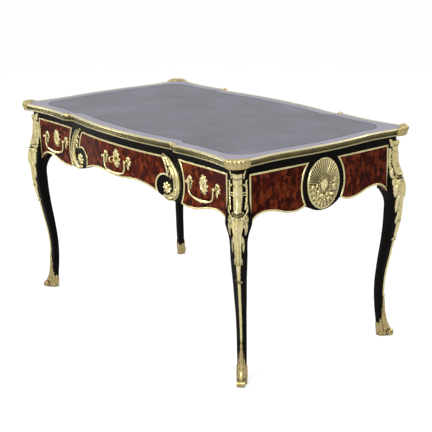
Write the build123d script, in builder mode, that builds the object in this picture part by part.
from build123d import *
import os
from math import sqrt

# Louis XV bureau plat: a writing desk on four cabriole legs, with three frieze
# drawers, bail handles, locks and gilt bronze mounts.
# Millimetres.  The origin is on the floor under the middle of the desk, +X runs
# along the desk, the drawers open towards -Y and +Z is up.

os.makedirs("parts", exist_ok=True)

# ------------------------------------------------------------ driving sizes
# heights above the floor
surface_z = 774.0            # writing surface
board_thickness = 24.0
rail_height = 28.0           # black rail between the top and the drawers
leather_thickness = 2.0

# outline of the top, one quarter
bow_y = 399.0                # middle of the bowed front
bow_end = (316.0, 373.0)     # where the bow meets the kink
flank_start = (368.0, 389.0)
flank_middle = (500.0, 380.0)
flank_end = (632.0, 392.0)
corner_tip = (677.0, 380.0)
end_start = (690.0, 338.0)
end_turn = (684.0, 170.0)    # where the end turns from hollow to bowed
end_bow_x = 695.0
moulding_depth = 13.0
moulding_steps = [           # two beads and the hollow between them: (level, inset)
    (0, 4), (1.5, 1.5), (6, 4), (7.5, 6), (12, 2.5), (14, 0), (20.5, 2.5), (23, 5.5), (25, 0)]
border_width = 38.0          # wooden border round the leather
leather_corner_radius = 80.0

# plan of the frieze, under the top
face_bow_y = 382.0           # middle of the centre drawer
face_kink = (262.0, 364.0)   # edge of the centre drawer
flank_face = (343.0, 357.0)
flank_hollow = (475.0, 352.0)
post_face = 355.0            # the post's front, from the middle of the desk
post_side = 655.0            # the post's outer side
post_size = 47.0
end_face_bow = 664.0         # middle of the end apron
end_panel_face = 657.0       # end apron beside the post
end_back_x = 635.0           # inner face of an end apron
back_wall_y = 335.0          # inner face of the back apron
front_back_y = 336.0         # back of the drawer fronts
pier_back_y = 331.0
rail_back_y = 318.0

# drawer fronts and panels, seen from the front
leg_notch_z = 552.0          # foot of a panel beside the leg
crown_reach = 60.0           # from the leg to the crown of the arch
crown_z = 585.0
dip_reach = 46.0             # from the pier to the dip
dip_z = 562.0
flank_belly = (369.5, 640.0)
flank_foot = (352.0, 570.0)
pier_belly = (283.0, 688.0)
pier_foot = (300.0, 571.0)
centre_swell = (120.0, 607.0)
centre_middle_z = 600.0
roundel = (272.0, 612.0)     # middle of the lower scroll on the pier
roundel_radius = 42.0
oval_z = 638.0               # middle of the end medallion
oval_half = (71.0, 88.0)
oval_black = 22.0            # black ground round the medallion
oval_foot_z = 576.0
apron_tongue_z = 546.0       # lowest point of the end apron, under the medallion
end_panel_top_z = 719.0

drawer_gap = 1.2             # between a drawer front and its opening
fit = 0.3                    # between pieces that slide or lie loose
running = 0.06               # radial clearance of pins and the key
strip_width = 5.0            # gilt fillet
strip_proud = 2.0

# legs: (height, offset of the faces from leg_corner)
leg_corner = (650.0, 350.0)
leg_outer = [(650, 5), (612, 12), (570, 20), (500, 18.5), (428, 13.5), (384, 7), (315, -3.5),
             (239, -14.5), (180, -19), (124, -18.5), (63, -16), (0, -13)]
leg_inner = [(0, -37), (47, -40), (117, -45), (194, -46), (281, -40), (374, -31), (455, -26.5),
             (520, -28), (560, -42)]
chute_outer = [(737, 10), (715, 13.5), (700, 9), (660, 9), (640, 12), (612, 21), (590, 26),
               (570, 29.5), (545, 27.5), (500, 24.5), (460, 22), (430, 19.5), (384, 11.5), (365, 8)]
chute_inner = [(365, -25), (500, -25), (600, -38), (700, -38)]
chute_foot_z = 365.0
# halves of the mounts' shapes along the arris: runs of (distance from the arris, height)
chute_shape = [
    [(0, 732), (13, 736), (23, 728), (22, 712), (17, 702)],
    [(17, 702), (28.5, 692)],
    [(28.5, 692), (28.5, 612)],
    [(28.5, 612), (21, 590), (27, 560), (28, 520)],
    [(28, 520), (15, 510)],
    [(15, 510), (16, 480), (10, 430), (6, chute_foot_z)],
    [(6, chute_foot_z), (0, chute_foot_z)],
]
chute_slot = [(19.5, 686), (23.5, 686), (23.5, 616), (11, 616)]
bead_inner = [(0, -25), (200, -33), (365, -25)]
bead_proud = 3.0
bead_half_width = (4.5, 3.5) # at the chute, at the sabot
sabot_top_z = 176.0
sabot_proud = 4.0
sabot_shape = [
    [(0, sabot_top_z), (6, 150), (9, 128)],
    [(9, 128), (17, 118)],
    [(17, 118), (25, 0)],
    [(25, 0), (0, 0)],
]
toe_scroll = (-3.0, 13.0)    # along the diagonal, and its height
toe_radius = 13.0
toe_half_width = 16.0

# corner clasps of the top
clasp_proud = 4.0
clasp_tip = (658.0, 358.0)
clasp_front = ((634.0, 400.0), (646.0, 374.0))
clasp_end = ((673.0, 346.0), (700.0, 322.0))
kink_leaf = (342.0, 26.0)    # middle and length of the leaf over each kink

# mounts of the frieze
volute_outer = [(264, 729), (309, 724), (341, 700), (356, 667), (359, 635), (353, 608), (332, 581),
                (315, 572), (291, 574), (274, 583)]
volute_inner = [(284, 589), (303, 593), (316, 608), (320, 633), (316, 665), (300, 694), (264, 710)]
volute_eye = (281.0, 610.0)
volute_eye_radius = 25.0
volute_proud = 8.0
medallion_proud = 6.0
mask_half = (23.0, 30.0)
mask_z = 628.0
mask_proud = 14.0

# drawer boxes
box_depth = 500.0
box_wall = 10.0
box_bottom = 6.0
flank_box = (374.0, 604.0, 606.0, 712.0)    # x from, x to, z from, z to
centre_box = (-230.0, 230.0, 626.0, 712.0)
groove = 4.0
track_width = 14.0           # of a runner, under a drawer side
track_thickness = 12.0
guide_width = 12.0
guide_gap = 1.5              # beside a drawer side
kicker_gap = 0.6             # over a drawer side
kicker_width = 20.0
partition = (291.0, 309.0)

# fittings
flank_fitting = (477.0, 353.0, 658.0)    # middle of a side drawer, face, height
centre_fitting = (0.0, 381.0, 667.0)
rosette_x = 74.0             # between the middle and a rosette
rosette_radius = 14.0
rosette_proud = 4.0
post_radius = 4.5
bail_arm_x = 66.0
bail_arm_foot = -22.0
bail_turn_end = (48.72, -45.04)
bail_drop = 52.0
bail_stand = 13.0            # of the bail from the drawer front
bail_wire = 2.9
knop_radius = 5.5
knop_half_length = 9.0
pin_radius = 1.6
pin_end_x = 77.0
bail_span = 90.0
escutcheon_half = (24.0, 31.5)
lock_width = 56.0
lock_depth = 12.0
lock_height = 72.0
lock_wall = 2.7
lock_below_rail = 4.0
bolt_width = 30.0
mortise_room = 1.2           # round a bolt in the rail
key_radius = 3.0
key_bow_y = 404.0
key_bow_radius = 9.8
key_wire = 2.2
collar_rim = 1.5
collar_gap = 2.0             # between the collar and the escutcheon
collar_length = 3.0
bit_width = 3.0
bit_reach = 9.0
bit_room = 0.5               # under the turning bit
bolt_over_bit = 1.0
stem_room = 0.5              # behind the key in its hole
stem_hole_depth = 11.0       # in the lock

# ------------------------------------------------------------ derived sizes
board_z = surface_z - board_thickness
drawer_top_z = board_z - rail_height
roundel_foot = (
    roundel[0] - roundel_radius / sqrt(2),
    roundel[1] - roundel_radius / sqrt(2),
)
bolt_y = front_back_y - lock_wall - fit
bolt_thickness = lock_depth - 2 * lock_wall - 2 * fit
post_inner_x = post_side - post_size
post_inner_y = post_face - post_size
lock_top_z = drawer_top_z - lock_below_rail
leg_front = Plane(origin=(*leg_corner, 0), x_dir=(1, 0, 0), z_dir=(0, -1, 0))
leg_side = Plane(origin=(*leg_corner, 0), x_dir=(0, 1, 0), z_dir=(1, 0, 0))
arris_view = Plane(origin=(*leg_corner, 0), x_dir=(-1, 1, 0), z_dir=(1, 1, 0))
toe_view = Plane(origin=(*leg_corner, 0), x_dir=(1, 1, 0), z_dir=(1, -1, 0))


def save(part, name):
    """Label a finished piece and write it."""
    part.label = name
    export_step(part, f"parts/{name}.step")


def save_mirrored(part, name, *planes):
    """Write a copy of a piece, mirrored in each of the planes."""
    with BuildPart() as copy:
        add(part)
        for plane in planes:
            mirror(about=plane, mode=Mode.REPLACE)
    save(copy.part, name)


# ------------------------------------------------------------ plans
def front_point(x, y):
    """A point of the front right quarter, given by its distances from the middle."""
    return (x, -y)


# front right quarter of the outline of the top
top_bow = TangentArc((0, -bow_y), front_point(*bow_end), tangent=(1, 0))
top_flank = ThreePointArc(
    front_point(*flank_start), front_point(*flank_middle), front_point(*flank_end)
)
top_end = TangentArc((end_bow_x, 0), front_point(*end_turn), tangent=(0, -1))
top_hollow = TangentArc(top_end @ 1, front_point(*end_start), tangent=top_end % 1)


def drawn_in(edge, inset):
    """The arc that runs inside an arc of the outline, at a distance from it."""
    side = 1 if (edge % 0.5).cross(Vector(0, 0, 0) - edge @ 0.5).Z > 0 else -1
    spots = []
    for spot in (0, 0.5, 1):
        along = edge % spot
        spots.append(edge @ spot + Vector(-along.Y, along.X) * inset * side)
    return ThreePointArc(*spots)


def top_plan(inset=0.0, pointed=False):
    """Outline of the top, drawn in by inset, with rounded or pointed corners."""
    tip = front_point(corner_tip[0] - inset / sqrt(2), corner_tip[1] - inset / sqrt(2))
    with BuildSketch() as plan:
        with BuildLine():
            bow = drawn_in(top_bow, inset)
            flank = drawn_in(top_flank, inset)
            end = drawn_in(top_end, inset)
            Spline(bow @ 1, flank @ 0, tangents=(top_bow % 1, top_flank % 0))
            if pointed:
                TangentArc(end @ 1, flank @ 1, tangent=top_end % 1)
            else:
                hollow = drawn_in(top_hollow, inset)
                Spline(
                    flank @ 1,
                    tip,
                    hollow @ 1,
                    tangents=(top_flank % 1, -(top_hollow % 1)),
                )
            mirror(about=Plane.YZ)
            mirror(about=Plane.XZ)
        make_face()
    return plan.sketch


def frieze_plan(back_y, proud=0.0):
    """Plan of a piece of the front: bowed and hollowed outside, straight at back_y."""
    with BuildSketch() as plan:
        with BuildLine():
            bow = TangentArc(
                (0, -face_bow_y - proud), (face_kink[0], -face_kink[1] - proud), tangent=(1, 0)
            )
            pier = Line(bow @ 1, (flank_face[0], -flank_face[1] - proud))
            flank = ThreePointArc(
                pier @ 1,
                (flank_hollow[0], -flank_hollow[1] - proud),
                (post_inner_x, -post_face - proud),
            )
            side = Line(flank @ 1, (post_inner_x, -back_y))
            Line(side @ 1, (0, -back_y))
            mirror(about=Plane.YZ)
        make_face()
    return plan.sketch


def end_plan(back_x, proud=0.0):
    """Plan of a piece of the end: bowed outside, straight at back_x."""
    with BuildSketch() as plan:
        with BuildLine():
            bow = ThreePointArc(
                (end_panel_face + proud, -post_inner_y),
                (end_face_bow + proud, 0),
                (end_panel_face + proud, post_inner_y),
            )
            Polyline(bow @ 1, (back_x, post_inner_y), (back_x, -post_inner_y), bow @ 0)
        make_face()
    return plan.sketch


# ------------------------------------------------------------ elevations
# X is the distance from the middle of that side of the desk, Y the height.
# The next three functions draw into the BuildLine that calls them.
def pier_side():
    """Side of the pier towards the centre drawer: a curve that runs into the roundel."""
    lower = CenterArc(roundel, roundel_radius, 60, 165)
    ThreePointArc((face_kink[0], drawer_top_z), pier_belly, lower @ 0)


def flank_side():
    """Side of the pier towards the side drawer."""
    TangentArc(flank_belly, (flank_face[0], drawer_top_z), tangent=(0, 1))
    TangentArc(flank_belly, flank_foot, tangent=(0, -1))


def shaped_foot(inner, leg):
    """Lower edge of a panel: a dip, an arch, and a notch at the leg."""
    dip = (inner[0] + dip_reach, dip_z)
    crown = (leg - crown_reach, crown_z)
    turn = ((dip[0] + crown[0]) / 2, (dip[1] + crown[1]) / 2)
    TangentArc(dip, inner, tangent=(-1, 0))
    TangentArc(dip, turn, tangent=(1, 0))
    TangentArc(crown, turn, tangent=(-1, 0))
    TangentArc(crown, (leg, leg_notch_z), tangent=(1, 0))


def flank_elevation():
    """Opening of a side drawer, between the pier and the leg."""
    with BuildSketch() as face:
        with BuildLine():
            flank_side()
            shaped_foot(flank_foot, post_inner_x)
            Polyline(
                (post_inner_x, leg_notch_z),
                (post_inner_x, drawer_top_z),
                (flank_face[0], drawer_top_z),
            )
        make_face()
    return face.sketch


def centre_elevation():
    """Opening of the centre drawer, between the two piers."""
    turn = (centre_swell[0] / 2, (centre_swell[1] + centre_middle_z) / 2)
    with BuildSketch() as face:
        with BuildLine():
            pier_side()
            Line((face_kink[0], drawer_top_z), (0, drawer_top_z))
            TangentArc(centre_swell, roundel_foot, tangent=(1, 0))
            TangentArc(centre_swell, turn, tangent=(-1, 0))
            TangentArc((0, centre_middle_z), turn, tangent=(1, 0))
            mirror(about=Plane.YZ)
        make_face()
    return face.sketch


def pier_elevation():
    """The black pier between two drawers."""
    with BuildSketch() as face:
        with BuildLine():
            pier_side()
            flank_side()
            Line((face_kink[0], drawer_top_z), (flank_face[0], drawer_top_z))
            ThreePointArc(flank_foot, pier_foot, roundel_foot)
        make_face()
    return face.sketch


def oval_side_x(height):
    """Half width of the black ground round the medallion at a height."""
    reach = (height - oval_z) / (oval_half[1] + oval_black)
    return (oval_half[0] + oval_black) * sqrt(1 - reach * reach)


def end_panel_elevation():
    """Panel of an end apron, between the medallion and the leg."""
    top = (oval_side_x(end_panel_top_z), end_panel_top_z)
    foot = (oval_side_x(oval_foot_z), oval_foot_z)
    with BuildSketch() as face:
        with BuildLine():
            ThreePointArc(top, (oval_side_x(oval_z), oval_z), foot)
            shaped_foot(foot, post_inner_y)
            Polyline((post_inner_y, leg_notch_z), (post_inner_y, end_panel_top_z), top)
        make_face()
    return face.sketch


def end_apron_elevation():
    """Whole end apron: two panels, the ground of the medallion and the rail above."""
    foot = (oval_side_x(oval_foot_z), oval_foot_z)
    with BuildSketch() as face:
        with BuildLine():
            TangentArc((0, apron_tongue_z), foot, tangent=(1, 0))
            shaped_foot(foot, post_inner_y)
            Polyline((post_inner_y, leg_notch_z), (post_inner_y, board_z), (0, board_z))
            mirror(about=Plane.YZ)
        make_face()
    return face.sketch


def oval(half_width, half_height, height):
    """An oval seen from the end of the desk."""
    with BuildSketch() as face:
        with Locations((0, height)):
            Ellipse(half_width, half_height)
    return face.sketch


def drawn_within(face, inset):
    """A panel's outline, drawn in by inset."""
    with BuildSketch() as inner:
        add(face)
        offset(amount=-inset)
    return inner.sketch


def outline_strip(face, inset):
    """The gilt fillet that follows a panel's outline, at a distance inside it."""
    with BuildSketch() as strip:
        add(drawn_within(face, inset))
        add(drawn_within(face, inset + strip_width), mode=Mode.SUBTRACT)
    return strip.sketch


# ------------------------------------------------------------ shaped solids
def frieze_solid(elevation, plan):
    """A piece of the front: its elevation cut out of its plan."""
    with BuildPart() as solid:
        with BuildSketch(Plane.XZ):
            add(elevation)
        extrude(amount=bow_y, both=True)
        with BuildSketch():
            add(plan)
        extrude(amount=surface_z, mode=Mode.INTERSECT)
    return solid.part


def end_solid(elevation, plan):
    """A piece of the right-hand end: its elevation cut out of its plan."""
    with BuildPart() as solid:
        with BuildSketch(Plane.YZ):
            add(elevation)
        extrude(amount=end_bow_x, both=True)
        with BuildSketch():
            add(plan)
        extrude(amount=surface_z, mode=Mode.INTERSECT)
    return solid.part


def leg_outline(outer, inner):
    """Silhouette of a leg from one side: outer curve down, inner curve up."""
    with BuildSketch() as face:
        with BuildLine():
            down = Spline([(x, z) for z, x in outer])
            foot = Line(down @ 1, (inner[0][1], outer[-1][0]))
            up = Spline([foot @ 1] + [(x, z) for z, x in inner[1:]])
            Polyline(up @ 1, (inner[-1][1], board_z), (outer[0][1], board_z), down @ 0)
        make_face()
    return face.sketch


def sawn_twice(silhouette):
    """A leg sawn to the same silhouette from the front and from the side."""
    with BuildPart() as solid:
        with BuildSketch(leg_front):
            add(silhouette)
        extrude(amount=post_size * 2, both=True)
        with BuildSketch(leg_side):
            add(silhouette)
        extrude(amount=post_size * 2, both=True, mode=Mode.INTERSECT)
    return solid.part


def on_arris(outer, inner, outline):
    """A mount that hugs the leg's arris: outline is its shape seen along the diagonal."""
    with BuildPart() as mount:
        add(sawn_twice(leg_outline(outer, inner)))
        with BuildSketch(arris_view):
            add(outline)
        extrude(amount=post_size * 2, both=True, mode=Mode.INTERSECT)
        add(leg_shaft, mode=Mode.SUBTRACT)
    return mount.part


def half_outline(*runs):
    """A closed face from its right half, mirrored in the height axis."""
    with BuildSketch() as face:
        with BuildLine():
            for run in runs:
                if len(run) == 2:
                    Line(*run)
                else:
                    Spline(*run)
            mirror(about=Plane.YZ)
        make_face()
    return face.sketch


# ------------------------------------------------------------ top
with BuildSketch() as leather_plan:
    add(top_plan(moulding_depth + border_width, pointed=True))
    corners = leather_plan.vertices().sort_by(lambda spot: abs(spot.X) + abs(spot.Y))[-4:]
    fillet(corners, leather_corner_radius)

with BuildPart() as top_board:
    with BuildSketch(Plane.XY.offset(board_z)):
        add(top_plan(moulding_depth))
    extrude(amount=board_thickness)
    with BuildSketch(Plane.XY.offset(surface_z - leather_thickness)):
        add(leather_plan.sketch)
    extrude(amount=leather_thickness, mode=Mode.SUBTRACT)
save(top_board.part, "top_board")

with BuildPart() as leather_inset:
    with BuildSketch(Plane.XY.offset(surface_z - leather_thickness)):
        add(leather_plan.sketch)
    extrude(amount=leather_thickness)
save(leather_inset.part, "leather_inset")

with BuildPart() as top_moulding:
    for (level, inset), (next_level, _) in zip(moulding_steps, moulding_steps[1:]):
        with BuildSketch(Plane.XY.offset(board_z + level)):
            add(top_plan(inset))
        extrude(amount=next_level - level)
    with BuildSketch(Plane.XY.offset(board_z)):
        add(top_plan(moulding_depth))
    extrude(amount=moulding_steps[-1][0], mode=Mode.SUBTRACT)
save(top_moulding.part, "top_moulding")

with BuildPart() as corner_clasps:
    with BuildSketch(Plane.XY.offset(board_z - clasp_proud)):
        with BuildLine():
            front_side = ThreePointArc(*clasp_front, clasp_tip)
            end_side = ThreePointArc(clasp_tip, *clasp_end)
            Polyline(end_side @ 1, (clasp_end[1][0], clasp_front[0][1]), front_side @ 0)
        make_face()
        with Locations(front_point(kink_leaf[0], bow_y)):
            Rectangle(kink_leaf[1], 2 * border_width)
        add(top_plan(-clasp_proud), mode=Mode.INTERSECT)
    extrude(amount=board_thickness + 2 * clasp_proud + 1)
    with BuildSketch(Plane.XY.offset(board_z - clasp_proud)):
        add(top_plan(moulding_depth))
    extrude(amount=board_thickness + clasp_proud, mode=Mode.SUBTRACT)
    add(top_moulding.part, mode=Mode.SUBTRACT)
    mirror(about=Plane.YZ)
    mirror(about=Plane.XZ)
save(corner_clasps.part, "corner_clasps")

# ------------------------------------------------------------ legs and their mounts
leg_shaft = sawn_twice(leg_outline(leg_outer, leg_inner))

with BuildPart() as chute:
    add(on_arris(chute_outer, chute_inner, half_outline(*chute_shape)))
    with BuildSketch(arris_view):
        with BuildLine():
            Polyline(*chute_slot, close=True)
        make_face()
        mirror(about=Plane.YZ)
    extrude(amount=post_size * 2, both=True, mode=Mode.SUBTRACT)

bead_top = (bead_half_width[0], chute_foot_z)
bead_foot = (bead_half_width[1], sabot_top_z)
bead_strip = on_arris(
    [(z, x + bead_proud) for z, x in leg_outer],
    bead_inner,
    half_outline([(0, chute_foot_z), bead_top], [bead_top, bead_foot], [bead_foot, (0, sabot_top_z)]),
)

with BuildPart() as sabot:
    sabot_outer = [(z, x + sabot_proud) for z, x in leg_outer]
    add(on_arris(sabot_outer, leg_inner, half_outline(*sabot_shape)))
    with BuildSketch(toe_view):
        with Locations(toe_scroll):
            Circle(toe_radius)
    extrude(amount=toe_half_width, both=True)
    add(leg_shaft, mode=Mode.SUBTRACT)

for corner, planes in (
    ("back_right", ()),
    ("back_left", (Plane.YZ,)),
    ("front_right", (Plane.XZ,)),
    ("front_left", (Plane.XZ, Plane.YZ)),
):
    save_mirrored(leg_shaft, f"{corner}_leg", *planes)
    save_mirrored(chute.part, f"{corner}_chute", *planes)
    save_mirrored(sabot.part, f"{corner}_sabot", *planes)

with BuildPart() as leg_beads:
    add(bead_strip)
    mirror(about=Plane.YZ)
    mirror(about=Plane.XZ)
save(leg_beads.part, "leg_beads")

# ------------------------------------------------------------ frame of the frieze
core_y = bolt_y + mortise_room / 2
core_depth = core_y - fit - rail_back_y
core_middle_y = rail_back_y + core_depth / 2
with BuildPart() as front_rail:
    # a facing, and behind it the blocks of the core, with a mortise for each bolt between them
    with BuildSketch(Plane.XY.offset(drawer_top_z)):
        add(frieze_plan(core_y))
        with Locations(front_point(0, core_middle_y)):
            Rectangle(2 * post_inner_x, core_depth)
        with Locations(*[
            front_point(x, core_middle_y)
            for x in (-flank_fitting[0], centre_fitting[0], flank_fitting[0])
        ]):
            Rectangle(bolt_width + mortise_room, core_depth, mode=Mode.SUBTRACT)
    extrude(amount=rail_height)
save(front_rail.part, "front_rail")

pier = frieze_solid(pier_elevation(), frieze_plan(pier_back_y))
save(pier, "right_divider")
save_mirrored(pier, "left_divider", Plane.YZ)

end_apron = end_solid(end_apron_elevation(), end_plan(end_back_x))
save(end_apron, "right_apron")
save_mirrored(end_apron, "left_apron", Plane.YZ)

with BuildSketch() as divider_and_rail:
    add(pier_elevation())
    with Locations((0, (drawer_top_z + board_z) / 2)):
        Rectangle(2 * post_inner_x, rail_height)

with BuildSketch() as back_elevation:
    add(flank_elevation())
    add(pier_elevation())
    mirror(about=Plane.YZ)
    add(centre_elevation())
    with Locations((0, (drawer_top_z + board_z) / 2)):
        Rectangle(2 * post_inner_x, rail_height)
back_apron = frieze_solid(back_elevation.sketch, frieze_plan(back_wall_y))
save_mirrored(back_apron, "back_apron", Plane.XZ)

# ------------------------------------------------------------ partitions, runners, kickers
flank_track_z = flank_box[2] - fit
centre_track_z = centre_box[2] - fit
inner_plate_z = flank_track_z - track_thickness
centre_side_x = centre_box[1] + guide_gap
inner_side_x = flank_box[0] - guide_gap
outer_side_x = flank_box[1] + guide_gap
behind_front = Plane.XZ.offset(pier_back_y)
between_posts = Plane.XZ.offset(post_inner_y)
behind_rail = Plane.XZ.offset(rail_back_y)

with BuildPart() as drawer_runners:
    with BuildSketch(behind_front):
        with BuildLine():
            Polyline(
                (centre_side_x - track_width, centre_track_z),
                (centre_side_x, centre_track_z),
                (centre_side_x, centre_track_z + track_width),
                (centre_side_x + guide_width, centre_track_z + track_width),
                (centre_side_x + guide_width, flank_track_z),
                (inner_side_x - guide_width, flank_track_z),
                (inner_side_x - guide_width, flank_track_z + track_width),
                (inner_side_x, flank_track_z + track_width),
                (inner_side_x, flank_track_z),
                (inner_side_x + track_width, flank_track_z),
                (inner_side_x + track_width, inner_plate_z),
                (centre_side_x, inner_plate_z),
                (centre_side_x, centre_track_z - track_thickness),
                (centre_side_x - track_width, centre_track_z - track_thickness),
                close=True,
            )
        make_face()
    extrude(amount=-(pier_back_y + back_wall_y))
    with BuildSketch(behind_rail):
        with Locations((sum(partition) / 2, (flank_track_z + board_z) / 2)):
            Rectangle(partition[1] - partition[0], board_z - flank_track_z)
    extrude(amount=-(rail_back_y + back_wall_y))
    with BuildSketch(between_posts):
        with BuildLine():
            Polyline(
                (outer_side_x - track_width, flank_track_z),
                (outer_side_x, flank_track_z),
                (outer_side_x, flank_track_z + 2 * track_width),
                (end_back_x, flank_track_z + 2 * track_width),
                (end_back_x, inner_plate_z),
                (outer_side_x - track_width, inner_plate_z),
                close=True,
            )
        make_face()
    extrude(amount=-2 * post_inner_y)
    mirror(about=Plane.YZ)
save(drawer_runners.part, "drawer_runners")

kicker_z = flank_box[3] + kicker_gap
with BuildPart() as drawer_kickers:
    with BuildSketch(behind_rail):
        with Locations(
            *[
                (x, (kicker_z + board_z) / 2)
                for x in (
                    centre_box[1] - kicker_width / 2,
                    flank_box[0] + kicker_width / 2,
                    flank_box[1] - kicker_width / 2,
                )
            ]
        ):
            Rectangle(kicker_width, board_z - kicker_z)
    extrude(amount=-(rail_back_y + back_wall_y))
    mirror(about=Plane.YZ)
save(drawer_kickers.part, "drawer_kickers")

# ------------------------------------------------------------ mounts of the frieze
with BuildSketch() as volute_elevation:
    with BuildLine():
        outside = Spline(*volute_outer)
        inside = Spline(*volute_inner)
        Line(outside @ 1, inside @ 0)
        Line(inside @ 1, outside @ 0)
    make_face()
    with Locations(volute_eye):
        Circle(volute_eye_radius)
    add(divider_and_rail.sketch, mode=Mode.INTERSECT)

with BuildPart() as volute:
    add(frieze_solid(volute_elevation.sketch, frieze_plan(core_y, volute_proud)))
    add(pier, mode=Mode.SUBTRACT)
    add(front_rail.part, mode=Mode.SUBTRACT)
with BuildPart() as front_volutes:
    add(volute.part)
    mirror(about=Plane.YZ)
save(front_volutes.part, "front_volutes")
save_mirrored(front_volutes.part, "back_volutes", Plane.XZ)

with BuildPart() as medallion:
    add(end_solid(oval(*oval_half, oval_z), end_plan(end_back_x, medallion_proud)))
    add(end_solid(oval(*mask_half, mask_z), end_plan(end_back_x, mask_proud)))
    add(end_apron, mode=Mode.SUBTRACT)
save(medallion.part, "right_medallion")
save_mirrored(medallion.part, "left_medallion", Plane.YZ)

with BuildPart() as end_fillets:
    add(end_solid(outline_strip(end_panel_elevation(), fit), end_plan(end_back_x, strip_proud)))
    add(end_apron, mode=Mode.SUBTRACT)
    mirror(about=Plane.XZ)
    mirror(about=Plane.YZ)
save(end_fillets.part, "end_fillets")

# ------------------------------------------------------------ fittings of a drawer
def keyhole(middle_x, height):
    """Round hole for the stem over a slot for the bit."""
    with BuildSketch() as hole:
        with Locations((middle_x, height)):
            Circle(key_radius + running)
        with Locations((middle_x, height - bit_reach / 2)):
            Rectangle(bit_width + 2 * fit, bit_reach + 2 * fit)
    return hole.sketch


def drawer_mounts(middle_x, face_y, height):
    """Two rosettes with the posts of the bail, and the escutcheon between them."""
    axis_y = face_y + bail_stand
    rosettes = ((middle_x - rosette_x, height), (middle_x + rosette_x, height))
    with BuildPart() as mounts:
        with BuildSketch(Plane.XZ.offset(front_back_y)):
            with Locations(*rosettes):
                Circle(rosette_radius)
        extrude(amount=face_y + rosette_proud - front_back_y)
        with BuildSketch(Plane.XZ.offset(front_back_y)):
            with Locations(*rosettes):
                Circle(post_radius)
        extrude(amount=axis_y + post_radius - front_back_y)
        with BuildSketch(Plane.YZ.offset(middle_x)):
            with Locations((-axis_y, height)):
                Circle(pin_radius + running)
        extrude(amount=bail_span, both=True, mode=Mode.SUBTRACT)
        with BuildSketch(Plane.XZ.offset(front_back_y)):
            with Locations((middle_x, height)):
                Ellipse(*escutcheon_half)
        extrude(amount=face_y + rosette_proud - front_back_y)
        with BuildSketch(Plane.XZ):
            add(keyhole(middle_x, height))
        extrude(amount=surface_z, mode=Mode.SUBTRACT)
    return mounts.part


def drawer_bail(middle_x, face_y, height):
    """Hanging handle: a bowed wire with a knop, and pins turned outwards into the posts."""
    with BuildPart() as bail:
        with BuildLine():
            arm = Line((bail_arm_x, bail_wire), (bail_arm_x, bail_arm_foot))
            turn = TangentArc(arm @ 1, bail_turn_end, tangent=arm % 1)
            TangentArc(turn @ 1, (0, -bail_drop), tangent=turn % 1)
        with BuildSketch(Plane(origin=arm @ 0, z_dir=(0, 1, 0))):
            Circle(bail_wire)
        sweep()
        with BuildSketch(Plane.YZ.offset(bail_arm_x)):
            Circle(pin_radius)
        extrude(amount=pin_end_x - bail_arm_x)
        mirror(about=Plane.YZ)
        with BuildSketch():
            with BuildLine():
                spindle = ThreePointArc(
                    (-knop_half_length, -bail_drop),
                    (0, knop_radius - bail_drop),
                    (knop_half_length, -bail_drop),
                )
                Line(spindle @ 1, spindle @ 0)
            make_face()
        revolve(axis=Axis((0, -bail_drop, 0), (1, 0, 0)))
    return bail.part.moved(Location((middle_x, -face_y - bail_stand, height), (90, 0, 0)))


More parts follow.
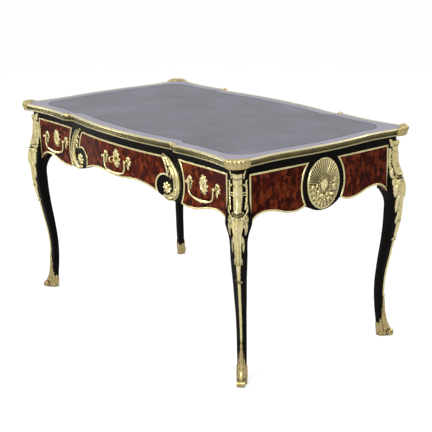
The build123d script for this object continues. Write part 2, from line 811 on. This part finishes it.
# ------------------------------------------------------------ drawers
sham_mounts = []
sham_fillets = []
for name, opening, box, fitting in (
    ("right", flank_elevation(), flank_box, flank_fitting),
    ("centre", centre_elevation(), centre_box, centre_fitting),
):
    middle_x, face_y, key_z = fitting
    x_from, x_to, z_from, z_to = box
    box_middle = ((x_from + x_to) / 2, box_depth / 2 - front_back_y)
    width = x_to - x_from

    strip = outline_strip(opening, drawer_gap + fit)
    with BuildPart() as drawer_front:
        add(frieze_solid(drawn_within(opening, drawer_gap), frieze_plan(front_back_y)))
        with BuildSketch(Plane.XZ):
            add(keyhole(middle_x, key_z))
        extrude(amount=surface_z, mode=Mode.SUBTRACT)
    with BuildPart() as fillet:
        add(frieze_solid(strip, frieze_plan(front_back_y, strip_proud)))
        add(drawer_front.part, mode=Mode.SUBTRACT)
    with BuildPart() as mounts:
        add(drawer_mounts(middle_x, face_y, key_z))
        add(drawer_front.part, mode=Mode.SUBTRACT)

    with BuildPart() as carcase:
        with BuildSketch(Plane.XY.offset(z_from)):
            with Locations(box_middle):
                Rectangle(width, box_depth)
            with Locations((box_middle[0], box_middle[1] - box_wall / 2)):
                Rectangle(width - 2 * box_wall, box_depth - box_wall, mode=Mode.SUBTRACT)
        extrude(amount=z_to - z_from)
        with BuildSketch(Plane.XY.offset(z_from + box_bottom)):
            with Locations((box_middle[0], box_middle[1] - (box_wall - groove) / 2)):
                Rectangle(width - 2 * (box_wall - groove), box_depth - box_wall + groove)
        extrude(amount=box_bottom, mode=Mode.SUBTRACT)
    with BuildPart() as bottom:
        with BuildSketch(Plane.XY.offset(z_from + box_bottom)):
            with Locations((box_middle[0], box_middle[1] - (box_wall - groove) / 2)):
                Rectangle(width - 2 * (box_wall - groove), box_depth - box_wall + groove)
        extrude(amount=box_bottom)

    lock_z = lock_top_z - lock_height
    cavity_z = key_z - bit_reach - bit_room
    with BuildPart() as lock:
        with BuildSketch(Plane.XY.offset(lock_z)):
            with Locations((middle_x, -front_back_y + lock_depth / 2)):
                Rectangle(lock_width, lock_depth)
        extrude(amount=lock_height)
        with BuildSketch(Plane.XY.offset(cavity_z)):
            with Locations((middle_x, -front_back_y + lock_depth / 2)):
                Rectangle(bolt_width + 2 * fit, bolt_thickness + 2 * fit)
        extrude(amount=lock_top_z - cavity_z, mode=Mode.SUBTRACT)
        with BuildSketch(Plane.XZ.offset(front_back_y)):
            add(keyhole(middle_x, key_z))
        extrude(amount=-lock_depth / 2, mode=Mode.SUBTRACT)
        with BuildSketch(Plane.XZ.offset(front_back_y)):
            with Locations((middle_x, key_z)):
                Circle(key_radius + running)
        extrude(amount=-stem_hole_depth, mode=Mode.SUBTRACT)
    bolt_foot_z = key_z + bit_reach + bolt_over_bit
    with BuildPart() as bolt:
        with BuildSketch(Plane.XY.offset(bolt_foot_z)):
            with Locations((middle_x, -front_back_y + lock_depth / 2)):
                Rectangle(bolt_width, bolt_thickness)
        extrude(amount=lock_top_z - bolt_foot_z)

    bail = drawer_bail(middle_x, face_y, key_z)
    pieces = {
        "front": drawer_front.part,
        "fillet": fillet.part,
        "mounts": mounts.part,
        "sides": carcase.part,
        "bottom": bottom.part,
        "lock": lock.part,
        "bolt": bolt.part,
        "bail": bail,
    }
    for piece, part in pieces.items():
        save(part, f"{name}_drawer_{piece}")
        if name == "right":
            save_mirrored(part, f"left_drawer_{piece}", Plane.YZ)
    save_mirrored(bail, f"back_{name}_bail", Plane.XZ)
    if name == "right":
        save_mirrored(bail, "back_left_bail", Plane.XZ, Plane.YZ)
    sham_fillets.append(fillet.part)
    sham_mounts.append(mounts.part)

with BuildPart() as back_fillets:
    add(sham_fillets)
    mirror(about=Plane.YZ)
save_mirrored(back_fillets.part, "back_fillets", Plane.XZ)

with BuildPart() as back_mounts:
    add(sham_mounts)
    mirror(about=Plane.YZ)
save_mirrored(back_mounts.part, "back_mounts", Plane.XZ)

# ------------------------------------------------------------ key
_, centre_face_y, centre_key_z = centre_fitting
stem_end_y = front_back_y - stem_hole_depth + stem_room
collar_y = centre_face_y + rosette_proud + collar_gap
with BuildPart() as key:
    with BuildSketch(Plane.XZ.offset(stem_end_y)):
        with Locations((0, centre_key_z)):
            Circle(key_radius)
    extrude(amount=key_bow_y - key_bow_radius - stem_end_y)
    with BuildSketch(Plane.XZ.offset(collar_y)):
        with Locations((0, centre_key_z)):
            Circle(key_radius + collar_rim)
    extrude(amount=collar_length)
    with BuildSketch(Plane.XZ.offset(front_back_y - lock_depth / 2 - bolt_thickness / 2)):
        with Locations((0, centre_key_z - bit_reach / 2)):
            Rectangle(bit_width, bit_reach)
    extrude(amount=bolt_thickness)
    with Locations(Location((0, -key_bow_y, centre_key_z), (0, 90, 0))):
        Torus(key_bow_radius, key_wire)
save(key.part, "key")
